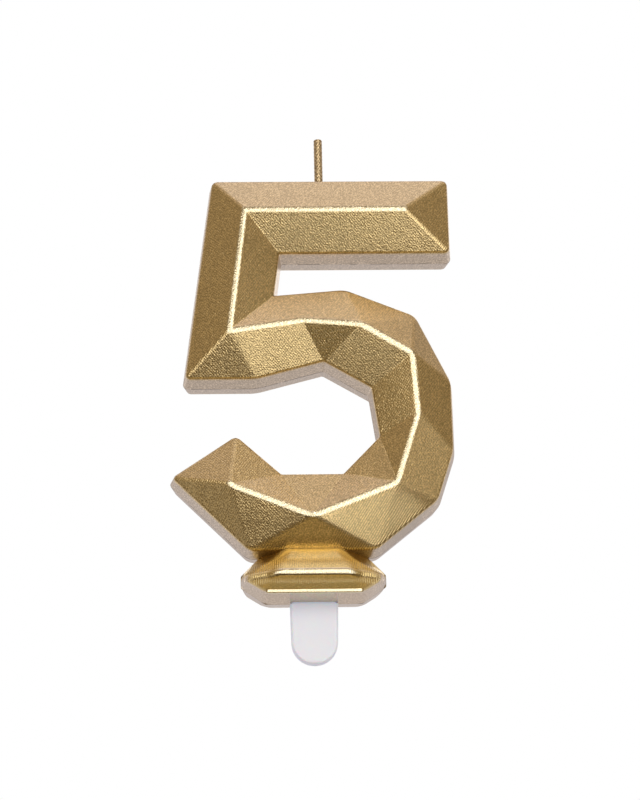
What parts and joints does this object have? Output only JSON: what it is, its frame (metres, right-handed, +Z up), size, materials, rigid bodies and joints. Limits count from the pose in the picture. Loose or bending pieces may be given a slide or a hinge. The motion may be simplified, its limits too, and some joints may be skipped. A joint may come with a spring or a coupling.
{
  "type": "number birthday candle",
  "caption": "Faceted metallic-gold wax birthday candle shaped as the figure 5, on a gem-shaped foot, with a braided wick and a push-in flat plastic cake pick.",
  "frame": {"origin": "middle of the foot's underside, on the parting line, where the pick comes out", "axes": "+Z up along the wick, +X to the right of the figure as read, the readable front faces -Y"},
  "size_m": [0.0524, 0.0184, 0.1017],
  "materials": {
    "gold_wax_front": "wax casting under a metallic gold coat",
    "gold_wax_rear": "wax casting under a metallic gold coat",
    "gold_wax_foot": "wax casting under a metallic gold coat",
    "wick_yarn": "cotton core yarn",
    "waxed_braid": "braided cotton soaked in wax with a gold coat",
    "set_wax": "set wax with a gold coat",
    "white_plastic": "white moulded polypropylene, satin"
  },
  "bodies": {
    "pick": {"cake_pick": "white_plastic"},
    "candle": {"number_front_half": "gold_wax_front", "number_rear_half": "gold_wax_rear", "pedestal_front_half": "gold_wax_foot", "pedestal_rear_half": "gold_wax_foot", "wick_core": "wick_yarn", "wick_braid": "waxed_braid", "wick_collar": "set_wax"}
  },
  "joints": [
    {"name": "candle_pull_off", "type": "slide", "parent": "pick", "child": "candle", "axis": [0, 0, 1], "range_m": [0, 0.012]}
  ]
}
